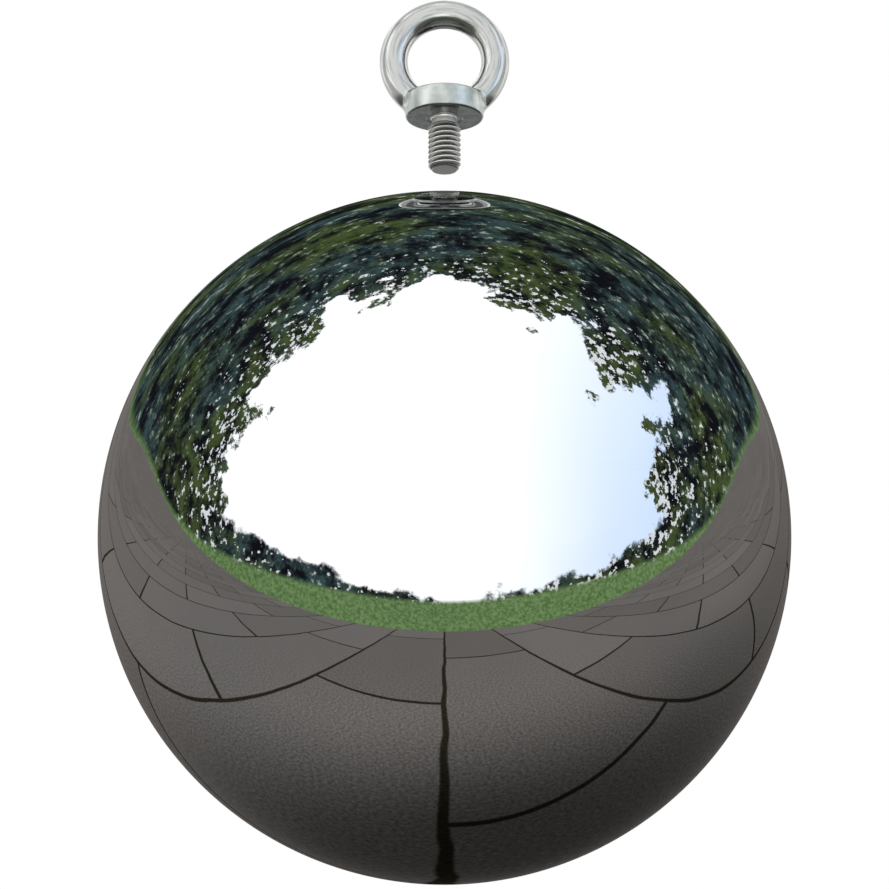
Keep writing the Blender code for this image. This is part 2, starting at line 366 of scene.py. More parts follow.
@dataclass(frozen=True)
class RolledThread(Metal):
    """Stainless thread, rolled between dies: crests burnished bright, roots dull and dark with old oil and
    painted shade.

    The eye sees fine lines that run round with the thread, and a darker line in every root, painted as oil
    and shade.

    Attributes:
        root_mm: radius at the root.
        root_oil_and_shade_mm: how far above the root the oil and painted shade start to thin, and are gone.
        thread_top: height in metres above which the shank is plain.
        thread_bottom: height in metres of the end face, which is clean too.
    """

    root_mm: float = 3.18
    root_oil_and_shade_mm: tuple[float, float] = (0.08, 0.42)
    thread_top: float = 0.0
    thread_bottom: float = -1.0
    neck_fade_mm: float = 0.4
    end_fade_mm: float = 0.3
    # Dark colour of the roots: old oil and painted shade.
    root_oil_and_shade: str = "#3B3A37"
    speck_mm: float = 0.5
    speck_depth_mm: float = 0.2
    line_mm: float = 0.12
    line_stretch: float = 0.12
    line_depth_mm: float = 0.006
    line_rise: float = 0.15

    def build(self) -> bpy.types.Material:
        """Clean metal on the crests and the plain ends, oil and painted shade towards the roots.

        Returns:
            The material.
        """
        material, tree, place = self.start()
        flat = add(tree, "VectorMath", place, ACROSS_THE_AXIS, operation="MULTIPLY")
        radius = add(tree, "VectorMath", flat, operation="LENGTH")
        specks = add(tree, "TexNoise", place, Scale=per_metre(self.speck_mm), Detail=4.0)
        uneven = add(tree, "Math", specks, self.speck_depth_mm * MM, radius, operation="MULTIPLY_ADD")
        # Painted shade and oil: the colour darkens towards the roots, for old oil and for the shade in the
        # grooves.
        thins, gone = ((self.root_mm + depth) * MM for depth in self.root_oil_and_shade_mm)
        burnished = add(tree, "MapRange", uneven, thins, gone, **SMOOTH)
        height = add(tree, "SeparateXYZ", place).outputs["Z"]
        top, bottom = self.thread_top, self.thread_bottom
        neck = add(tree, "MapRange", height, top - self.neck_fade_mm * MM, top, **SMOOTH)
        end = add(tree, "MapRange", height, bottom, bottom + self.end_fade_mm * MM, 1.0, 0.0, **SMOOTH)
        plain = add(tree, "Math", neck, end, operation="ADD")
        clean = add(tree, "Math", burnished, plain, operation="MAXIMUM")
        colour = add(tree, "Mix", clean, linear(self.root_oil_and_shade), linear(self.colour), **COLOUR)
        stretched = add(tree, "Mapping", place, Scale=(self.line_stretch, self.line_stretch, 1.0))
        lines = add(tree, "TexNoise", stretched, Scale=per_metre(self.line_mm), Detail=3.0)
        rough = add(tree, "MapRange", lines, *NOISE_SPAN, self.roughness, self.roughness + self.line_rise)
        bump = add(tree, "Bump", Height=lines, Strength=0.4, Distance=self.line_depth_mm * MM)
        self.close(tree, colour, rough, bump)
        return material


@dataclass(frozen=True)
class WeldBead(Metal):
    """A weld bead as laid: rippled, with the straw and blue tints that heat leaves on stainless steel."""

    straw: str = "#A68B5E"
    straw_span: tuple[float, float] = (0.40, 0.55)
    blue: str = "#5F6D86"
    blue_span: tuple[float, float] = (0.56, 0.66)
    tint_mm: float = 5.0
    ripple_mm: float = 1.1
    ripple_depth_mm: float = 0.2

    def build(self) -> bpy.types.Material:
        """Grey weld metal that turns straw and then blue in patches.

        Returns:
            The material.
        """
        material, tree, place = self.start()
        tint = add(tree, "TexNoise", place, Scale=per_metre(self.tint_mm), Detail=3.0)
        warm = add(tree, "MapRange", tint, *self.straw_span, **SMOOTH)
        cold = add(tree, "MapRange", tint, *self.blue_span, **SMOOTH)
        colour = add(tree, "Mix", warm, linear(self.straw), linear(self.colour), **COLOUR)
        colour = add(tree, "Mix", cold, colour, linear(self.blue), **COLOUR)
        ripple = add(tree, "TexNoise", place, Scale=per_metre(self.ripple_mm), Detail=2.0)
        bump = add(tree, "Bump", Height=ripple, Strength=0.8, Distance=self.ripple_depth_mm * MM)
        self.close(tree, colour, self.roughness, bump)
        return material


# ----------------------------------------------------------------------------------------------- mesh making


def outward(points: np.ndarray, quads: np.ndarray, fans: np.ndarray) -> bool:
    """Tests whether the faces of a closed mesh point outwards.

    A corner dotted with the cross product of the other two is six times the volume under a triangle.

    Args:
        points: the mesh's points.
        quads: the corners of its four-sided faces.
        fans: the corners of its triangles.

    Returns:
        True if the sum of all the volumes is positive.
    """
    triangles = np.concatenate([quads[:, [0, 1, 2]], quads[:, [0, 2, 3]], fans])
    a, b, c = (points[triangles[:, k]] for k in range(3))
    return float(np.einsum("ij,ij->", a, np.cross(b, c))) > 0.0


def surface(name: str, grid: np.ndarray, wrap_rows: bool = False, first_pole: bool = False,
            last_pole: bool = False, second_rows: tuple[int, int] | None = None,
            unrolled: tuple[float, float] | None = None) -> bpy.types.Object:
    """Makes a closed, smooth mesh object from a grid of points in millimetres.

    Each cell between rows i and i+1 and columns j and j+1 is one four-sided face. Columns always wrap.

    Args:
        name: the object's name.
        grid: points, rows by columns by 3.
        wrap_rows: the last row joins the first, as round a ring's section.
        first_pole: the first row is closed by a fan to the mean of its points.
        last_pole: the same for the last row.
        second_rows: first and last row of faces that take the second material.
        unrolled: length of all rows and of all columns laid flat, for a UV map in the same unit.

    Returns:
        The object, linked to the scene, with its place in its mesh.
    """
    rows, columns = grid.shape[:2]
    points = grid.reshape(-1, 3)
    row, column = np.meshgrid(np.arange(rows if wrap_rows else rows - 1), np.arange(columns), indexing="ij")
    next_row, next_column = (row + 1) % rows, (column + 1) % columns
    corners = [row * columns + column, row * columns + next_column,
               next_row * columns + next_column, next_row * columns + column]
    quads = np.stack(corners, -1).reshape(-1, 4)
    ring, after = np.arange(columns), (np.arange(columns) + 1) % columns
    fans = np.empty((0, 3), int)
    if first_pole:
        hub = np.full(columns, len(points))
        points = np.vstack([points, grid[0].mean(0)])
        fans = np.vstack([fans, np.stack([hub, after, ring], -1)])
    if last_pole:
        hub, base = np.full(columns, len(points)), (rows - 1) * columns
        points = np.vstack([points, grid[-1].mean(0)])
        fans = np.vstack([fans, np.stack([hub, base + ring, base + after], -1)])
    turned = not outward(points, quads, fans)
    if turned:
        quads, fans = quads[:, ::-1], fans[:, ::-1]
    mesh = bpy.data.meshes.new(name)
    mesh.vertices.add(len(points))
    mesh.vertices.foreach_set("co", (points * MM).astype(np.float32).ravel())
    mesh.loops.add(quads.size + fans.size)
    mesh.loops.foreach_set("vertex_index", np.concatenate([quads.ravel(), fans.ravel()]).astype(np.int32))
    starts = np.concatenate([np.arange(len(quads)) * 4, quads.size + np.arange(len(fans)) * 3])
    mesh.polygons.add(len(starts))
    mesh.polygons.foreach_set("loop_start", starts.astype(np.int32))
    if second_rows:
        index = np.zeros(len(starts), np.int32)
        face_rows = row.reshape(-1)
        index[:len(quads)] = (face_rows >= second_rows[0]) & (face_rows <= second_rows[1])
        index[len(quads):] = int(last_pole)
        mesh.polygons.foreach_set("material_index", index)
    mesh.update(calc_edges=True)
    if unrolled:
        flat = np.stack([np.stack([row + down, column + right], -1) for down, right in
                         ((0, 0), (0, 1), (1, 1), (1, 0))], -2).reshape(-1, 4, 2)
        flat = flat[:, ::-1] if turned else flat
        share = flat / np.array([len(row), columns]) * np.array(unrolled) * MM
        mesh.uv_layers.new(name="unrolled").uv.foreach_set("vector", share.astype(np.float32).ravel())
    mesh.validate()
    mesh.shade_smooth()
    mesh.set_sharp_from_angle(angle=SHARP_ANGLE)
    obj = bpy.data.objects.new(name, mesh)
    bpy.context.scene.collection.objects.link(obj)
    return obj


def around(columns: int) -> np.ndarray:
    """Evenly spaced angles round a full turn, in radians."""
    return np.linspace(0.0, 2 * math.pi, columns, endpoint=False)


def revolve(section: np.ndarray, columns: int) -> np.ndarray:
    """Carries a section of (radius, height) points round the vertical axis.

    The point at angle a is (radius cos a, radius sin a, height).

    Args:
        section: rows of radius and height. Radii may also differ round the turn: rows by columns by 2.
        columns: number of steps in a turn.

    Returns:
        Points, rows by columns by 3.
    """
    if section.ndim == 2:
        section = np.repeat(section[:, None, :], columns, axis=1)
    angle = around(columns)[None, :]
    radius, height = section[..., 0], section[..., 1]
    return np.stack([radius * np.cos(angle), radius * np.sin(angle), height], -1)


def line(start: tuple[float, float], end: tuple[float, float], steps: int) -> np.ndarray:
    """Evenly spaced points from start up to, but without, end."""
    share = np.arange(steps)[:, None] / steps
    return np.array(start) * (1 - share) + np.array(end) * share


def arc(centre: tuple[float, float], radius: float, start: float, end: float, steps: int) -> np.ndarray:
    """Points on a circular arc from angle start to angle end, both included, angles in radians."""
    angle = np.linspace(start, end, steps + 1)
    return np.stack([centre[0] + radius * np.cos(angle), centre[1] + radius * np.sin(angle)], -1)


def lift(grid: np.ndarray, height: float) -> np.ndarray:
    """Moves points up by a height."""
    return grid + np.array([0.0, 0.0, height])


@dataclass(frozen=True)
class Thread:
    """Metric coarse thread, M8, right-handed, as a radius for every height and angle.

    Attributes:
        radius: crest radius in millimetres.
        pitch: rise in a turn.
        depth: from crest to root.
        seat: height where the helix starts, the collar's seat.
        crest: width of the crest, as a share of the pitch.
        root: width of the root, as a share of the pitch.
        easing: how much of the flank's slope is eased in and out.
    """

    seat: float
    radius: float = 3.95
    pitch: float = 1.25
    depth: float = 0.767
    crest: float = 1 / 8
    root: float = 1 / 4
    easing: float = 0.45

    def at(self, height: np.ndarray, angle: np.ndarray, clearance: float = 0.0) -> np.ndarray:
        """Radius of the thread's surface.

        The phase is height over pitch less the turn's share. The profile is a trapezoid of the phase with a
        crest an eighth of a pitch wide and a root a quarter wide, eased a little as rolling leaves it.

        Args:
            height: heights, in millimetres.
            angle: angles round the axis, in radians.
            clearance: how much larger a nut's thread is.

        Returns:
            Radii, in millimetres.
        """
        phase = ((height - self.seat) / self.pitch - angle / (2 * math.pi)) % 1.0
        foot, width = 0.5 - self.root / 2, 0.5 - self.root / 2 - self.crest / 2
        share = np.clip((foot - np.abs(phase - 0.5)) / width, 0.0, 1.0)
        eased = share * share * (3 - 2 * share)
        rise = (1 - self.easing) * share + self.easing * eased
        return self.radius - self.depth * (1 - rise) + clearance


# ---------------------------------------------------------------------------------------------- the eye bolt


@dataclass
class EyeBolt:
    """One forging: ring, drum collar, undercut neck and threaded shank, as three overlapping surfaces.

    The ring and the collar flow into each other. Both are pushed out to the surface where the smooth least of
    their two distances is zero, which is a fillet. Heights are above the seat, the collar's underside.

    Attributes:
        ring_hole_radius: radius of the ring's hole.
        ring_section_radius: radius of the round bar that the ring is made of.
        ring_above_seat: height of the ring's centre.
        collar_radius: radius of the drum.
        collar_height: height of the drum.
        collar_edge: radius of its rounded edges.
        relief_radius: radius of the shallow recess in the seat.
        relief_depth: depth of that recess.
        fillet: distance between ring and collar from which they start to flow together.
        neck_radius: radius of the undercut between the seat and the thread.
        neck_length: how far below the seat it reaches.
        neck_fillet: radius of the corner where it meets the seat.
        shank_length: from the seat to the tip.
        tip_radius: radius of the flat end face.
        buried_top: how far the shank's surface runs up into the collar.
        hidden_above: least height of the ring's surface, which ends inside the collar.
        buried_from: depth in the other piece, in fillets, below which a surface isn't pushed out.
        buried_over: how many fillets it takes for the push to come in fully.
        ring_steps: steps round the ring, and round its bar.
        collar_columns: steps round the collar.
        seat_steps: steps across the recess, its slant and the seat.
        edge_steps: steps round a rounded edge.
        side_steps: steps up the drum.
        top_steps: steps across its top.
        shank_columns: steps round the shank.
        shank_step: height of one step of the thread.
        face_steps: steps across the end face.
        pole_gap: radius of the fan that closes the collar.
        tip_pole_gap: radius of the fan that closes the tip.
        flow_rounds: how often the push is worked out again.
        seat: the seat's height in the model.
        pieces: ring, collar and shank.
    """

    ring_hole_radius: float = 9.0
    ring_section_radius: float = 3.42
    ring_above_seat: float = 14.65
    collar_radius: float = 9.5
    collar_height: float = 5.6
    collar_edge: float = 0.6
    relief_radius: float = 4.5
    relief_depth: float = 0.15
    fillet: float = 1.1
    neck_radius: float = 3.1
    neck_length: float = 1.7
    neck_fillet: float = 0.5
    shank_length: float = 13.4
    tip_radius: float = 2.95
    buried_top: float = 0.9
    hidden_above: float = 0.6
    buried_from: float = 0.75
    buried_over: float = 0.4
    ring_steps: tuple[int, int] = (420, 96)
    collar_columns: int = 400
    seat_steps: tuple[int, int, int] = (12, 3, 30)
    edge_steps: int = 14
    side_steps: int = 34
    top_steps: int = 70
    shank_columns: int = 144
    shank_step: float = 0.045
    face_steps: int = 12
    pole_gap: float = 0.4
    tip_pole_gap: float = 0.2
    flow_rounds: int = 14
    seat: float = field(init=False)
    pieces: list[bpy.types.Object] = field(init=False, default_factory=list)

    def __post_init__(self) -> None:
        """Reads the seat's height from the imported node: its lowest point is the tip."""
        low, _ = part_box("eye_bolt")
        self.seat = low.z / MM + self.shank_length

    def ring_distance(self, point: np.ndarray) -> np.ndarray:
        """Distance to the ring: distance to the ring's centre circle, less the section's radius.

        Args:
            point: points above the seat, in millimetres.

        Returns:
            One distance for each point, negative inside.
        """
        circle = self.ring_hole_radius + self.ring_section_radius
        across = np.hypot(point[..., 0], point[..., 2] - self.ring_above_seat) - circle
        return np.hypot(across, point[..., 1]) - self.ring_section_radius

    def collar_distance(self, point: np.ndarray) -> np.ndarray:
        """Distance to the collar, a drum with rounded edges: the distance to a smaller drum, less the edge.

        Args:
            point: points above the seat, in millimetres.

        Returns:
            One distance for each point, negative inside.
        """
        half, edge = self.collar_height / 2, self.collar_edge
        side = np.hypot(point[..., 0], point[..., 1]) - (self.collar_radius - edge)
        top = np.abs(point[..., 2] - half) - (half - edge)
        outside = np.hypot(np.maximum(side, 0.0), np.maximum(top, 0.0))
        return np.minimum(np.maximum(side, top), 0.0) + outside - edge

    def blended(self, point: np.ndarray) -> np.ndarray:
        """Smooth least of both distances: the least, less a quarter of the fillet times a squared share.

        Args:
            point: points above the seat, in millimetres.

        Returns:
            One distance for each point, zero on the filleted surface.
        """
        ring, collar = self.ring_distance(point), self.collar_distance(point)
        share = np.maximum(self.fillet - np.abs(ring - collar), 0.0) / self.fillet
        return np.minimum(ring, collar) - share ** 2 * self.fillet / 4

    def flow(self, grid: np.ndarray, normal: np.ndarray, other: np.ndarray) -> np.ndarray:
        """Pushes a surface out along its normals to the blended surface, and leaves what lies deep inside.

        Args:
            grid: points on one of the two plain surfaces.
            normal: unit normals there.
            other: distance of each point to the other surface.

        Returns:
            The moved points.
        """
        push = np.zeros(grid.shape[:2])
        for _ in range(self.flow_rounds):
            push = np.clip(push - self.blended(grid + push[..., None] * normal), 0.0, self.fillet)
        near = np.clip((other + self.buried_from * self.fillet) / (self.buried_over * self.fillet), 0.0, 1.0)
        return grid + (push * near)[..., None] * normal

    def ring(self) -> bpy.types.Object:
        """A torus: a circle of the section's radius carried round the ring's centre circle.

        Returns:
            The piece. What lies in the collar is kept above the seat.
        """
        turn, round_section = around(self.ring_steps[0])[:, None], around(self.ring_steps[1])[None, :]
        circle = self.ring_hole_radius + self.ring_section_radius
        reach = np.cos(round_section)
        normal = np.stack([reach * np.sin(turn), np.sin(round_section) + 0 * turn, -reach * np.cos(turn)], -1)
        centre = np.stack([circle * np.sin(turn), 0 * turn, self.ring_above_seat - circle * np.cos(turn)], -1)
        grid = centre + self.ring_section_radius * normal
        grid = self.flow(grid, normal, self.collar_distance(grid))
        buried = self.collar_distance(grid) < 0
        height = grid[..., 2]
        grid[..., 2] = np.where(buried | (height < 0), np.maximum(height, self.hidden_above), height)
        flat = (2 * math.pi * circle, 2 * math.pi * self.ring_section_radius)
        return surface("eye_bolt_ring", lift(grid, self.seat), wrap_rows=True, unrolled=flat)

    def collar(self) -> bpy.types.Object:
        """The drum: its outline of seat, rounded edges, side and top, turned about the axis.

        Returns:
            The piece, whose seat takes its second material.
        """
        side, edge, top = self.collar_radius - self.collar_edge, self.collar_edge, self.collar_height
        relief, depth = self.relief_radius, self.relief_depth
        relief_steps, slant_steps, seat_steps = self.seat_steps
        under = np.concatenate([
            line((self.pole_gap, depth), (relief - depth, depth), relief_steps),
            line((relief - depth, depth), (relief, 0.0), slant_steps),
            line((relief, 0.0), (side, 0.0), seat_steps),
        ])
        outline = np.concatenate([
            under,
            arc((side, edge), edge, -math.pi / 2, 0.0, self.edge_steps)[:-1],
            line((side + edge, edge), (side + edge, top - edge), self.side_steps),
            arc((side, top - edge), edge, 0.0, math.pi / 2, self.edge_steps)[:-1],
            line((side, top), (self.pole_gap, top), self.top_steps),
        ])
        grid = revolve(outline, self.collar_columns)
        step = 1e-4
        slope = [self.collar_distance(grid + step * axis) - self.collar_distance(grid - step * axis)
                 for axis in np.eye(3)]
        normal = np.stack(slope, -1) / (2 * step)
        normal /= np.linalg.norm(normal, axis=-1, keepdims=True)
        above = grid[..., 2] > edge
        moved = self.flow(grid, normal, self.ring_distance(grid))
        grid = np.where(above[..., None], moved, grid)
        return surface("eye_bolt_collar", lift(grid, self.seat), first_pole=True, last_pole=True,
                       second_rows=(0, len(under) - 1))

    def shank(self) -> bpy.types.Object:
        """The end face, then a height field round the axis: the least of thread, end chamfer and neck.

        Returns:
            The piece.
        """
        tip = -self.shank_length
        height = np.arange(tip, self.buried_top, self.shank_step)[:, None]
        thread = Thread(seat=0.0)
        chamfer = self.tip_radius + (height - tip)
        rise = np.clip(height + self.neck_fillet, 0.0, self.neck_fillet)
        spread = self.neck_fillet - np.sqrt(np.maximum(self.neck_fillet ** 2 - rise ** 2, 0.0))
        neck = self.neck_radius + np.maximum(-self.neck_length - height, 0.0) + spread
        angle = around(self.shank_columns)[None, :]
        radius = np.minimum(np.minimum(thread.at(height, angle), chamfer), neck)
        body = np.stack([radius, height + 0 * angle], -1)
        face = line((self.tip_pole_gap, tip), (self.tip_radius, tip), self.face_steps)
        face = np.repeat(face[:, None, :], self.shank_columns, axis=1)
        grid = revolve(np.concatenate([face, body]), self.shank_columns)
        return surface("eye_bolt_shank", lift(grid, self.seat), first_pole=True, last_pole=True)

    def build(self) -> None:
        """Makes the three surfaces."""
        self.pieces = [self.ring(), self.collar(), self.shank()]

    def dress(self) -> None:
        """Gives each surface its finish and its place in the model."""
        finishes = [
            [BeltPolishedForging("belt_polished_stainless_forging", "#A9AAA8", 0.19)],
            [BlastedForging("blasted_stainless_forging", "#ABB0AD", 0.28),
             FacedSeat("faced_stainless_seat", "#979D9A", 0.13)],
            [RolledThread("rolled_stainless_thread", "#D2D2CE", 0.36,
                          thread_top=(self.seat - self.neck_length) * MM,
                          thread_bottom=(self.seat - self.shank_length) * MM)],
        ]
        for piece, coats in zip(self.pieces, finishes):
            for coat in coats:
                piece.data.materials.append(coat.build())
            settle(piece, Body.BOLT, "eye_bolt")


# -------------------------------------------------------------------------------------------------- the ball


@dataclass
class Ball:
    """The hollow ball: two pressed halves and the flush seam between them.

    Attributes:
        wall: thickness of the sheet.
        hole_radius: radius of the hole for the boss.
        seam_half_width: half the width of the seam's outer face.
        hairline: gap between the seam and a half.
        bead_depth: how far the bead inside stands in.
        bead_half_width: half its width.
        bead_root: how far inside the sheet the bead starts.
        bead_lip: how far short of the bead the seam's straight sides end.
        face_steps: steps across the seam's outer face.
        bead_steps: steps round the bead.
        columns: steps round the ball.
        outer_steps: steps from the seam to the pole outside.
        inner_steps: the same inside.
        radius: the ball's radius.
        centre: the height of its centre in the model.
        shells: upper and lower half.
        seam: the seam.
        mirror: the ball's polish, which the boss shares.
        bead: the weld metal, which the boss's weld shares.
    """

    wall: float = 0.8
    hole_radius: float = 6.0
    seam_half_width: float = 0.4
    hairline: float = 0.004
    bead_depth: float = 1.3
    bead_half_width: float = 1.2
    bead_root: float = 0.3
    bead_lip: float = 0.1
    face_steps: int = 6
    bead_steps: int = 16
    columns: int = 384
    outer_steps: int = 176
    inner_steps: int = 48
    radius: float = field(init=False)
    centre: float = field(init=False)
    shells: list[bpy.types.Object] = field(init=False, default_factory=list)
    seam: bpy.types.Object = field(init=False, default=None)
    mirror: bpy.types.Material = field(init=False, default=None)
    bead: bpy.types.Material = field(init=False, default=None)

    def __post_init__(self) -> None:
        """Reads the ball's radius and centre from the lower shell: its lowest point is the bottom pole."""
        left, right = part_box("equator_weld")
        bottom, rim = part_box("lower_shell")
        self.radius = (right.x - left.x) / 2 / MM
        self.centre = bottom.z / MM + self.radius
        LOG.info("ball radius %.2f, centre at %.2f, rim at %.2f", self.radius, self.centre, rim.z / MM)

    def section(self, far_radius: float) -> tuple[np.ndarray, np.ndarray]:
        """The wall's section: arcs of the outer and the inner circle from the seam to the far end.

        Args:
            far_radius: distance from the axis where the wall ends, 0 at a closed pole.

        Returns:
            Outer arc from rim to far end, and inner arc from far end to rim.
        """
        rim = self.seam_half_width + self.hairline
        inner = self.radius - self.wall
        outer_arc = arc((0, 0), self.radius, math.asin(rim / self.radius),
                        math.acos(far_radius / self.radius), self.outer_steps)
        inner_arc = arc((0, 0), inner, math.acos(far_radius / inner),
                        math.asin(rim / inner), self.inner_steps)
        return outer_arc, inner_arc

    def upper(self) -> bpy.types.Object:
        """Upper half: its closed section turned about the axis, open at the hole for the boss.

        Returns:
            The piece, whose inside takes its second material.
        """
        outer_arc, inner_arc = self.section(self.hole_radius)
        grid = revolve(np.concatenate([outer_arc, inner_arc]), self.columns)
        inside = (self.outer_steps, len(grid) - 1)
        return surface("upper_half", lift(grid, self.centre), wrap_rows=True, second_rows=inside)

    def lower(self) -> bpy.types.Object:
        """Lower half: its section, which runs from the outer pole over the rim to the inner pole, turned.

        Returns:
            The piece, whose inside takes its second material.
        """
        outer_arc, inner_arc = self.section(0.0)
        chain = np.concatenate([outer_arc[::-1][1:], inner_arc[::-1][:-1]]) * np.array([1.0, -1.0])
        grid = revolve(chain, self.columns)
        inside = (self.outer_steps - 1, len(grid) - 1)
        return surface("lower_half", lift(grid, self.centre), first_pole=True, last_pole=True,
                       second_rows=inside)

    def seam_ring(self) -> bpy.types.Object:
        """The seam: an arc flush with the sphere outside and half an ellipse inside, turned about the axis.

        Returns:
            The piece, whose bead takes its second material.
        """
        half = self.seam_half_width
        edge = math.asin(half / self.radius)
        face = arc((0, 0), self.radius, -edge, edge, self.face_steps)
        root = self.radius - self.wall - self.bead_root
        bead = arc((0, 0), 1.0, math.pi / 2, 3 * math.pi / 2, self.bead_steps)
        bead = bead * [self.bead_depth, self.bead_half_width] + [root, 0.0]
        over = line((root + self.bead_lip, half), tuple(bead[0]), 2)
        under = line((root + self.bead_lip, -half), tuple(face[0]), 2)
        grid = revolve(np.concatenate([face, over, bead, under]), self.columns)
        inside = (self.face_steps, len(grid) - 1)
        return surface("seam_ring", lift(grid, self.centre), wrap_rows=True, second_rows=inside)

    def build(self) -> None:
        """Makes both halves and the seam."""
        self.shells = [self.upper(), self.lower()]
        self.seam = self.seam_ring()

    def dress(self) -> None:
        """Mirror outside, dull sheet inside, and one polish right across the seam."""
        self.mirror = MirrorPolish("mirror_buffed_stainless", "#DDDEDF", 0.012).build()
        inside = PressedInside("cold_rolled_stainless_sheet", "#A9A7A2", 0.34).build()
        self.bead = WeldBead("weld_bead_as_laid", "#8E8C88", 0.36).build()
        for piece, node in zip(self.shells, ("upper_shell", "lower_shell")):
            piece.data.materials.append(self.mirror)
            piece.data.materials.append(inside)
            settle(piece, Body.BALL, node)
        self.seam.data.materials.append(self.mirror)
        self.seam.data.materials.append(self.bead)
        settle(self.seam, Body.SEAM, "equator_weld")


# -------------------------------------------------------------------------------------------------- the boss


@dataclass
class Boss:
    """The boss under the ball's top: flush with the sphere round its threaded mouth, and its weld inside.

    Attributes:
        ball: the ball that it is welded in.
        bolt: the bolt that its thread fits.
        length: from the hole's edge down.
        radius: radius of its side.
        spigot_gap: gap between the hole and the part of the boss that fills it.
        spigot_edge: depth of the polished edge there.
        shoulder_gap: gap between the wall and the shoulder under it.
        mouth: how much wider than the thread the countersunk mouths are.
        low_mouth_cut: how much less the lower one is.
        clearance: how much larger the thread is than the bolt's.
        columns: steps round the boss.
        step: height of one step of the thread.
        face_steps: steps across the polished face.
        side_steps: steps down the side.
        flat_steps: steps across the shoulder, and across the lower end.
        edge_steps: steps along a short edge.
        weld_gap: gap between boss and weld.
        weld_leg: length of the weld's legs.
        weld_hollow: how far the middle of the weld's face is pushed in, and up.
        weld_columns: steps round the weld.
        weld_face_steps: steps across its face.
        weld_back_steps: steps along each leg.
        ripples: number of ripples round the weld.
        ripple_push: how far they swell, out and up.
        piece: the boss.
        weld: its weld.
    """

    ball: Ball
    bolt: EyeBolt
    length: float = 15.0
    radius: float = 8.0
    spigot_gap: float = 0.015
    shoulder_gap: float = 0.4
    mouth: float = 0.6
    low_mouth_cut: float = 0.2
    spigot_edge: float = 0.1
    clearance: float = 0.05
    columns: int = 160
    step: float = 0.05
    face_steps: int = 10
    side_steps: int = 10
    flat_steps: int = 6
    edge_steps: int = 3
    weld_gap: float = 0.3
    weld_leg: float = 3.0
    weld_hollow: tuple[float, float] = (-0.30, 0.34)
    weld_columns: int = 360
    weld_face_steps: int = 14
    weld_back_steps: int = 6
    ripples: int = 46
    ripple_push: tuple[float, float] = (0.035, -0.035)
    piece: bpy.types.Object = field(init=False, default=None)
    weld: bpy.types.Object = field(init=False, default=None)

    def build(self) -> None:
        """A closed section whose bore is a height field: the greater of the thread and the mouths' cones."""
        ball, thread = self.ball, Thread(seat=self.bolt.seat - self.ball.centre)
        spigot, mouth = ball.hole_radius - self.spigot_gap, self.mouth
        top = math.sqrt(ball.radius ** 2 - ball.hole_radius ** 2)
        bottom = top - self.length
        mouth_radius = thread.radius + mouth
        mouth_top = math.sqrt(ball.radius ** 2 - mouth_radius ** 2)
        angle = around(self.columns)[None, :]
        height = np.linspace(bottom, mouth_top, int(self.length / self.step))[:, None]
        upper_cone = mouth_radius - (mouth_top - height)
        lower_cone = mouth_radius - self.low_mouth_cut - (height - bottom)
        cones = np.maximum(upper_cone, lower_cone)
        radius = np.maximum(thread.at(height, angle, self.clearance), cones)
        bore = np.stack([radius, height + 0 * angle], -1)
        inner = ball.radius - ball.wall
        shoulder = [(r, math.sqrt(inner ** 2 - r ** 2) - self.shoulder_gap) for r in (spigot, self.radius)]
        face = [math.acos(reach / ball.radius) for reach in (mouth_radius, spigot)]
        outside = np.concatenate([
            arc((0, 0), ball.radius, *face, self.face_steps)[1:],
            line((spigot, top - self.spigot_edge), shoulder[0], self.edge_steps),
            line(shoulder[0], shoulder[1], self.flat_steps),
            line(shoulder[1], (self.radius, bottom + mouth), self.side_steps),
            line((self.radius, bottom + mouth), (self.radius - mouth, bottom), self.edge_steps),
            line((self.radius - mouth, bottom), (mouth_radius, bottom), self.flat_steps),
        ])
        outside = np.repeat(outside[:, None, :], self.columns, axis=1)
        grid = revolve(np.concatenate([bore, outside]), self.columns)
        polished = (len(height) - 1, len(height) - 2 + self.face_steps)
        self.piece = surface("threaded_boss_turned", lift(grid, ball.centre), wrap_rows=True,
                             second_rows=polished)
        self.weld = self.weld_ring(inner)

    def weld_ring(self, inner: float) -> bpy.types.Object:
        """The fillet weld: a corner section with a hollow face, carried round the boss.

        The face is a straight line pushed in by half a sine wave, and a second sine wave, of the angle, makes
        it swell and dip in ripples.

        Args:
            inner: radius of the ball's inside.

        Returns:
            The piece.
        """
        near, leg = self.radius + self.weld_gap, self.weld_leg
        corner = (near, math.sqrt(inner ** 2 - near ** 2) - self.shoulder_gap)
        far = (near + leg, math.sqrt(inner ** 2 - (near + leg) ** 2) - self.shoulder_gap)
        low = (near, corner[1] - leg)
        share = np.linspace(0.0, 1.0, self.weld_face_steps + 1)[:, None]
        face = np.array(low) * (1 - share) + np.array(far) * share
        face = face + np.sin(share * math.pi) * np.array(self.weld_hollow)
        angle = around(self.weld_columns)[None, :, None]
        ripple = np.sin(share[:, None, :] * math.pi) * np.sin(angle * self.ripples)
        rows = face[:, None, :] + ripple * np.array(self.ripple_push)
        steps = self.weld_back_steps
        back = np.concatenate([line(far, corner, steps)[1:], line(corner, low, steps)])
        back = np.repeat(back[:, None, :], self.weld_columns, axis=1)
        grid = revolve(np.concatenate([rows, back]), self.weld_columns)
        return surface("boss_fillet_weld", lift(grid, self.ball.centre), wrap_rows=True)

    def dress(self) -> None:
        """Turned steel, with the ball's own polish on the face round the mouth."""
        self.piece.data.materials.append(RolledThread("tapped_stainless_boss", "#A9A9A6", 0.3).build())
        self.piece.data.materials.append(self.ball.mirror)
        settle(self.piece, Body.BALL, "threaded_boss")
        self.weld.data.materials.append(self.ball.bead)
        settle(self.weld, Body.BALL, "boss_weld")


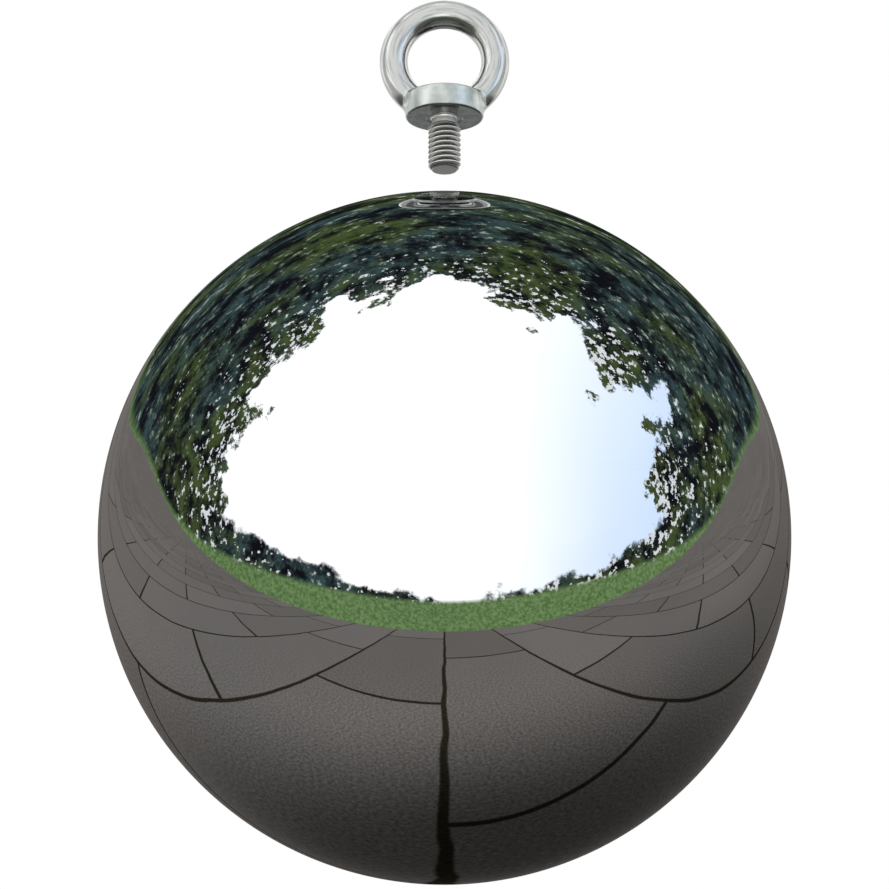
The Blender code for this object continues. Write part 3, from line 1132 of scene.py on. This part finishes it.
def settle(piece: bpy.types.Object, body: Body, node: str) -> None:
    """Puts a piece on its body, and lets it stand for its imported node.

    Args:
        piece: the piece.
        body: the body that it moves with.
        node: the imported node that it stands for.
    """
    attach(piece, body.value)
    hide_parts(node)
    LOG.info("%s rides on %s, %d faces", piece.name, body.value, len(piece.data.polygons))


# ------------------------------------------------------------------------------------------------ the studio


@dataclass(frozen=True)
class Panel:
    """A square soft light that faces the middle of the eye bolt.

    Attributes:
        name: the light's name.
        place: where it stands, in millimetres from the bolt's middle.
        size: length of its side in millimetres.
        radiance: how bright it looks, where 1 is paper white.
    """

    name: str
    place: tuple[float, float, float]
    size: float
    radiance: float

    def build(self, middle: Vector, receivers: bpy.types.Collection,
              blockers: bpy.types.Collection | None) -> None:
        """Makes the light, which only lights the pieces in a collection.

        Args:
            middle: the place that it faces, in metres.
            receivers: the collection.
            blockers: the only pieces that shade from it, or None for all.
        """
        data = bpy.data.lights.new(self.name, "AREA")
        data.shape, data.size = "SQUARE", self.size * MM
        data.energy = self.radiance * math.pi * data.size ** 2
        light = bpy.data.objects.new(self.name, data)
        bpy.context.scene.collection.objects.link(light)
        offset = Vector(self.place) * MM
        light.location = middle + offset
        light.rotation_euler = offset.to_track_quat("Z", "Y").to_euler()
        light.light_linking.receiver_collection = receivers
        light.light_linking.blocker_collection = blockers


@dataclass(frozen=True)
class Surround:
    """What the mirror shows: a bright soft opening in dark leaves, over grass and pale stone slabs with a
    painted shadow beneath.

    Directions point out from the ball, and the front is -Y. Camera rays see plain white instead. A scale is
    how many features a noise has in one unit of direction, and a span is the pair of values between which one
    thing turns to the next.

    Attributes:
        edge_slope: the ground's edge rises by this much of the depth, towards the back.
        edge_top: the height at which the edge levels off behind.
        edge_bend: how softly it levels off.
        edge_soft: half the width of the change at the ground's edge.
        opening_from: how far a direction faces the front where the opening starts.
        opening_above: the opening's height above the ground's edge.
        leaf_reach: how far the leaves make the opening's edge ragged.
        bough_reach: how far the boughs do.
        gap_depth: how far from the opening's edge the bright gaps between leaves begin.
        gap_gain: how much readier they open at the edge.
        skyline_share: how much of that is left along the opening's foot.
        soft: half the width of the change at the opening's edge.
        grass: the grass band's height in front, and at the sides.
        ground_down: the direction straight into the ground.
        darkest: the direction in which the ground's painted shadow is darkest.
        darkest_span: how nearly a direction points that way where the painted shadow starts to darken the
            ground, and ends.
        darkest_share: how much light the painted shadow leaves there.
        slab: length and width of a slab, where the ground is one unit below.
        slab_shift: how far the slabs are moved along, and across.
        joint: half the width of a joint.
        waver: how far a joint strays from straight.
        grit_share: the least and the most of its light that a grain of stone keeps.
        ground_strength: how bright leaves and ground are.
        opening_strength: how bright the opening is.
        inner_share: how much of the light is left for light that has already met metal.
    """

    edge_slope: float = 0.89
    edge_top: float = 0.36
    edge_bend: float = 0.3
    edge_soft: float = 0.005
    opening_from: float = 0.245
    opening_above: float = 0.27
    leaf_scale: float = 11.0
    leaf_reach: float = 0.52
    leaf_span: tuple[float, float] = (0.40, 0.62)
    bough_scale: float = 2.6
    bough_reach: float = 1.2
    bough_span: tuple[float, float] = (0.40, 0.58)
    twig_scale: float = 34.0
    twig_span: tuple[float, float] = (0.55, 0.68)
    gap_depth: float = 0.30
    gap_gain: float = 0.13
    gap_span: tuple[float, float] = (0.955, 0.985)
    skyline_share: float = 0.35
    soft: float = 0.02
    sky_span: tuple[float, float] = (0.0, 1.25)
    grass: tuple[float, float] = (0.22, 0.012)
    grass_span: tuple[float, float] = (-0.9, 0.2)
    blade_scale: float = 60.0
    blade_span: tuple[float, float] = (0.35, 0.65)
    ground_down: tuple[float, float, float] = (0.0, 0.506, -0.863)
    darkest: tuple[float, float, float] = (0.15, 0.70, -0.70)
    darkest_span: tuple[float, float] = (0.35, 1.0)
    darkest_share: float = 0.17
    slab: tuple[float, float] = (2.7, 1.3)
    slab_shift: tuple[float, float] = (-1.3, 0.0)
    joint: float = 0.03
    waver: float = 0.05
    waver_scale: float = 2.0
    grit_scale: float = 48.0
    grit_span: tuple[float, float] = (0.36, 0.66)
    grit_share: tuple[float, float] = (0.68, 1.40)
    ground_strength: float = 1.1
    opening_strength: float = 1.6
    inner_share: float = 0.12
    cloud_white: str = "#FFFFFF"
    sky_blue: str = "#B9D0EE"
    turf: tuple[str, str] = ("#577444", "#7D9A66")
    leaf_dark: str = "#14151B"
    leaf_masses: tuple[str, str] = ("#3C5154", "#4B5A33")
    leaf_lit: str = "#A5B4A0"
    gap_light: str = "#EEF2F6"
    stones: tuple[str, str] = ("#6A6663", "#76726F")
    joint_earth: str = "#2B281F"

    def build(self) -> None:
        """Mixes leaves, opening, grass and ground by direction."""
        world = bpy.data.worlds.new("studio")
        world.use_nodes = True
        bpy.context.scene.world = world
        tree = world.node_tree
        tree.nodes.clear()
        look = add(tree, "TexCoord").outputs["Generated"]
        x, y, z = add(tree, "SeparateXYZ", look).outputs
        slope = add(tree, "Math", y, self.edge_slope, operation="MULTIPLY")
        edge = add(tree, "Math", slope, self.edge_top, self.edge_bend, operation="SMOOTH_MIN")
        above = add(tree, "Math", z, edge, operation="SUBTRACT")
        leaves = add(tree, "TexNoise", look, Scale=self.leaf_scale, Detail=8.0, Roughness=0.7)
        boughs = add(tree, "TexNoise", look, Scale=self.bough_scale, Detail=3.0, Roughness=0.5)
        fringe = add(tree, "Math", leaves, self.leaf_reach, -self.leaf_reach / 2, operation="MULTIPLY_ADD")
        lobes = add(tree, "Math", boughs, self.bough_reach, -self.bough_reach / 2, operation="MULTIPLY_ADD")
        ragged = add(tree, "Math", fringe, lobes, operation="ADD")
        facing = add(tree, "Math", y, -1.0, operation="MULTIPLY")
        front = add(tree, "Math", facing, ragged, operation="SUBTRACT")
        low = add(tree, "Math", ragged, self.skyline_share, above, operation="MULTIPLY_ADD")
        front_span, low_span = ((start - self.soft, start + self.soft)
                                for start in (self.opening_from, self.opening_above))
        across = add(tree, "MapRange", front, *front_span, **SMOOTH)
        over = add(tree, "MapRange", low, *low_span, **SMOOTH)
        opening = add(tree, "Math", across, over, operation="MULTIPLY")
        blueness = add(tree, "MapRange", x, *self.sky_span, **SMOOTH)
        sky = add(tree, "Mix", blueness, linear(self.cloud_white), linear(self.sky_blue), **COLOUR)
        upper = add(tree, "Mix", opening, self.canopy(tree, look, leaves, boughs, front), sky, **COLOUR)
        band = add(tree, "MapRange", y, *self.grass_span, *self.grass, **SMOOTH)
        past = add(tree, "Math", above, band, operation="SUBTRACT")
        trees = add(tree, "MapRange", past, -self.soft, self.soft, **SMOOTH)
        blades = add(tree, "TexNoise", look, Scale=self.blade_scale, Detail=3.0, Roughness=0.7)
        lit = add(tree, "MapRange", blades, *self.blade_span, **SMOOTH)
        turf = add(tree, "Mix", lit, *map(linear, self.turf), **COLOUR)
        green = add(tree, "Mix", trees, turf, upper, **COLOUR)
        beyond = add(tree, "MapRange", above, -self.edge_soft, self.edge_soft, **SMOOTH)
        all_round = add(tree, "Mix", beyond, self.ground(tree, look, x), green, **COLOUR)
        bright = add(tree, "Math", opening, trees, operation="MULTIPLY")
        strength = add(tree, "MapRange", bright, 0.0, 1.0, self.ground_strength, self.opening_strength)
        path = add(tree, "LightPath")
        bounces = add(tree, "MapRange", path.outputs["Ray Depth"], *ONE_BOUNCE_TO_TWO, 1.0, self.inner_share)
        dimmed = add(tree, "Math", strength, bounces, operation="MULTIPLY")
        reflected = add(tree, "Background", all_round, dimmed)
        backdrop = add(tree, "Background", linear("#FFFFFF"), 1.0)
        add(tree, "OutputWorld", add(tree, "MixShader", path.outputs["Is Camera Ray"], reflected, backdrop))

    def canopy(self, tree: bpy.types.NodeTree, look: bpy.types.NodeSocket, leaves: bpy.types.Node,
               boughs: bpy.types.Node, front: bpy.types.Node) -> bpy.types.Node:
        """Dark leaves in blue-green and olive masses, lit tips, and bright gaps that crowd to the opening.

        Args:
            tree: the world's node tree.
            look: the direction.
            leaves: fine noise by direction.
            boughs: coarse noise by direction.
            front: how far the direction faces the front, less the ragged edge.

        Returns:
            The node that gives the colour.
        """
        mass = add(tree, "MapRange", boughs, *self.bough_span, **SMOOTH)
        shade = add(tree, "Mix", mass, *map(linear, self.leaf_masses), **COLOUR)
        depth = add(tree, "MapRange", leaves, *self.leaf_span, **SMOOTH)
        colour = add(tree, "Mix", depth, linear(self.leaf_dark), shade, **COLOUR)
        twigs = add(tree, "TexNoise", look, Scale=self.twig_scale, Detail=3.0, Roughness=0.6)
        tips = add(tree, "MapRange", twigs, *self.twig_span, **SMOOTH)
        lit = add(tree, "Math", tips, depth, operation="MULTIPLY")
        colour = add(tree, "Mix", lit, colour, linear(self.leaf_lit), **COLOUR)
        closeness = add(tree, "MapRange", front, -self.gap_depth, self.opening_from, 0.0, self.gap_gain,
                        **SMOOTH)
        patches = add(tree, "Math", boughs, 0.5, twigs, operation="MULTIPLY_ADD")
        holes = add(tree, "Math", patches, closeness, operation="ADD")
        gaps = add(tree, "MapRange", holes, *self.gap_span, **SMOOTH)
        return add(tree, "Mix", gaps, colour, linear(self.gap_light), **COLOUR)

    def ground(self, tree: bpy.types.NodeTree, look: bpy.types.NodeSocket,
               side: bpy.types.NodeSocket) -> bpy.types.Node:
        """Large stone slabs, where a direction meets the ground one unit below, with a painted shadow
        straight beneath.

        A direction is divided by its fall towards the ground, which gives the place on the ground. Slabs run
        away from the eye in rows that are each half a slab further on.

        Args:
            tree: the world's node tree.
            look: the direction.
            side: its share across.

        Returns:
            The node that gives the colour.
        """
        down, waver = self.ground_down, self.waver
        fall = add(tree, "VectorMath", look, down, operation="DOT_PRODUCT")
        back = add(tree, "VectorMath", look, (0.0, -down[2], down[1]), operation="DOT_PRODUCT")
        spot = add(tree, "CombineXYZ", add(tree, "Math", back, fall, operation="DIVIDE"),
                   add(tree, "Math", side, fall, operation="DIVIDE"))
        uneven = add(tree, "TexNoise", spot, Scale=self.waver_scale, Detail=2.0, Roughness=0.5)
        shift = tuple(along - waver / 2 for along in self.slab_shift) + (0.0,)
        bend = add(tree, "VectorMath", uneven.outputs["Color"], (waver, waver, 0.0), shift,
                   operation="MULTIPLY_ADD")
        bent = add(tree, "VectorMath", spot, bend, operation="ADD")
        joints = add(tree, "TexBrick", bent, *map(linear, self.stones), linear(self.joint_earth), 1.0,
                     self.joint, 0.5, 0.0, *self.slab, offset=0.5)
        grit = add(tree, "TexNoise", spot, Scale=self.grit_scale, Detail=2.0, Roughness=0.8)
        speck = add(tree, "MapRange", grit, *self.grit_span, *self.grit_share)
        stone = add(tree, "VectorMath", joints, speck, operation="SCALE")
        # Painted shadow: the ground darkens towards the direction straight beneath.
        under = add(tree, "VectorMath", look, self.darkest, operation="DOT_PRODUCT")
        dark = add(tree, "MapRange", under, *self.darkest_span, 1.0, self.darkest_share, **SMOOTH)
        return add(tree, "VectorMath", stone, dark, operation="SCALE")


@dataclass
class Studio:
    """Floor, soft light and camera.

    Attributes:
        ball: the ball, which the camera and the floor are placed by.
        bolt: the bolt, which the panels light.
        camera_lens: focal length.
        camera_distance: from the ball's centre.
        camera_below: degrees by which the camera stands below it.
        camera_pitch: degrees by which it looks up.
        camera_clip: the nearest and the furthest that it sees, in metres.
        floor_drop: from the ball's centre down to the floor.
        floor_radii: radius of the floor's first ring, and of its edge.
        floor_rings: number of rings, each a fixed share wider than the last.
        floor_columns: steps round the floor.
        floor_thickness: how thick the floor is.
        floor_paint: the two tones of its paint.
        floor_mottle: size of a patch of either.
        floor_light: strength of the light that only the floor takes.
        floor_light_spread: how many degrees of the sky that light fills.
        bolt_middle: height of the bolt's middle in the model.
        panels: the soft panels round the bolt.
        thread_panel: one more, which lights only the shank.
    """

    ball: Ball
    bolt: EyeBolt
    camera_lens: float = 100.0
    camera_distance: float = 575.5
    camera_below: float = 11.69
    camera_pitch: float = 13.81
    camera_clip: tuple[float, float] = (0.01, 200.0)
    floor_drop: float = 900.0
    floor_radii: tuple[float, float] = (50.0, 14000.0)
    floor_rings: int = 24
    floor_columns: int = 96
    floor_thickness: float = 20.0
    floor_paint: tuple[str, str] = ("#E4E4E2", "#E7E7E5")
    floor_mottle: float = 120.0
    floor_light: float = 1.5
    floor_light_spread: float = 50.0
    bolt_middle: float = -15.0
    panels: tuple[Panel, ...] = (
        Panel("front_low_panel", (0.0, -760.0, -330.0), 300.0, 0.85),
        Panel("left_panel", (-900.0, -50.0, 260.0), 1500.0, 0.75),
        Panel("right_panel", (900.0, -50.0, 260.0), 1500.0, 0.75),
        Panel("back_left_panel", (-650.0, 700.0, 330.0), 1400.0, 0.95),
        Panel("back_right_panel", (650.0, 700.0, 330.0), 1400.0, 0.95),
        Panel("top_panel", (0.0, 250.0, 900.0), 1300.0, 1.0),
        Panel("back_low_panel", (0.0, 800.0, -380.0), 600.0, 0.35),
    )
    thread_panel: Panel = Panel("thread_panel", (0.0, -500.0, -700.0), 900.0, 2.3)

    def camera(self) -> None:
        """A long lens a little below the ball that looks up at it and the bolt."""
        data = bpy.data.cameras.new("camera")
        data.lens = self.camera_lens
        data.clip_start, data.clip_end = self.camera_clip
        camera = bpy.data.objects.new("camera", data)
        bpy.context.scene.collection.objects.link(camera)
        below = math.radians(self.camera_below)
        camera.location = (0.0, -self.camera_distance * math.cos(below) * MM,
                           (self.ball.centre - self.camera_distance * math.sin(below)) * MM)
        camera.rotation_euler = (math.radians(90 + self.camera_pitch), 0.0, 0.0)
        bpy.context.scene.camera = camera

    def floor(self) -> None:
        """A round pale floor well below the hanging ball, with a light of its own and no mirror image."""
        radii = np.geomspace(*self.floor_radii, self.floor_rings)
        top = np.stack([radii, np.full(radii.size, self.ball.centre - self.floor_drop)], -1)
        section = np.concatenate([top, top[::-1] - [0.0, self.floor_thickness]])
        floor = surface("studio_floor", revolve(section, self.floor_columns), first_pole=True, last_pole=True)
        material = bpy.data.materials.new("painted_studio_floor")
        material.use_nodes = True
        tree = material.node_tree
        tree.nodes.clear()
        place = add(tree, "TexCoord").outputs["Object"]
        mottle = add(tree, "TexNoise", place, Scale=per_metre(self.floor_mottle), Detail=3.0)
        share = add(tree, "MapRange", mottle, *NOISE_SPAN, **SMOOTH)
        colour = add(tree, "Mix", share, *map(linear, self.floor_paint), **COLOUR)
        add(tree, "OutputMaterial", add(tree, "BsdfPrincipled", Base_Color=colour, Roughness=0.8))
        floor.data.materials.append(material)
        floor.visible_glossy = False
        sun = bpy.data.objects.new("floor_light", bpy.data.lights.new("floor_light", "SUN"))
        sun.data.energy = self.floor_light
        sun.data.angle = math.radians(self.floor_light_spread)
        bpy.context.scene.collection.objects.link(sun)
        sun.light_linking.receiver_collection = self.gather("floor_receivers", [floor])

    @staticmethod
    def gather(name: str, pieces: list[bpy.types.Object]) -> bpy.types.Collection:
        """Puts pieces in a new collection that lights can be limited to.

        Args:
            name: the collection's name.
            pieces: the pieces.

        Returns:
            The collection.
        """
        collection = bpy.data.collections.new(name)
        for piece in pieces:
            collection.objects.link(piece)
        return collection

    def build(self) -> None:
        """Sets up camera, floor, surround and the bolt's light tent."""
        self.camera()
        self.floor()
        Surround().build()
        receivers = self.gather("bolt_receivers", self.bolt.pieces)
        middle = Vector((0.0, 0.0, self.bolt_middle * MM))
        for panel in self.panels:
            panel.build(middle, receivers, None)
        self.thread_panel.build(middle, self.gather("shank_receivers", self.bolt.pieces[2:]), receivers)
        bpy.context.scene.view_settings.view_transform = "Standard"


def main() -> None:
    """Loads the frame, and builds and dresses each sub-assembly."""
    logging.basicConfig(level=logging.INFO, format="%(message)s")
    for obj in list(bpy.data.objects):
        bpy.data.objects.remove(obj, do_unlink=True)
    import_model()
    bolt = EyeBolt()
    ball = Ball()
    boss = Boss(ball, bolt)
    for part in (bolt, ball, boss):
        part.build()
        part.dress()
    Studio(ball, bolt).build()
    LOG.info("sizes written")


if __name__ == "__main__":
    main()
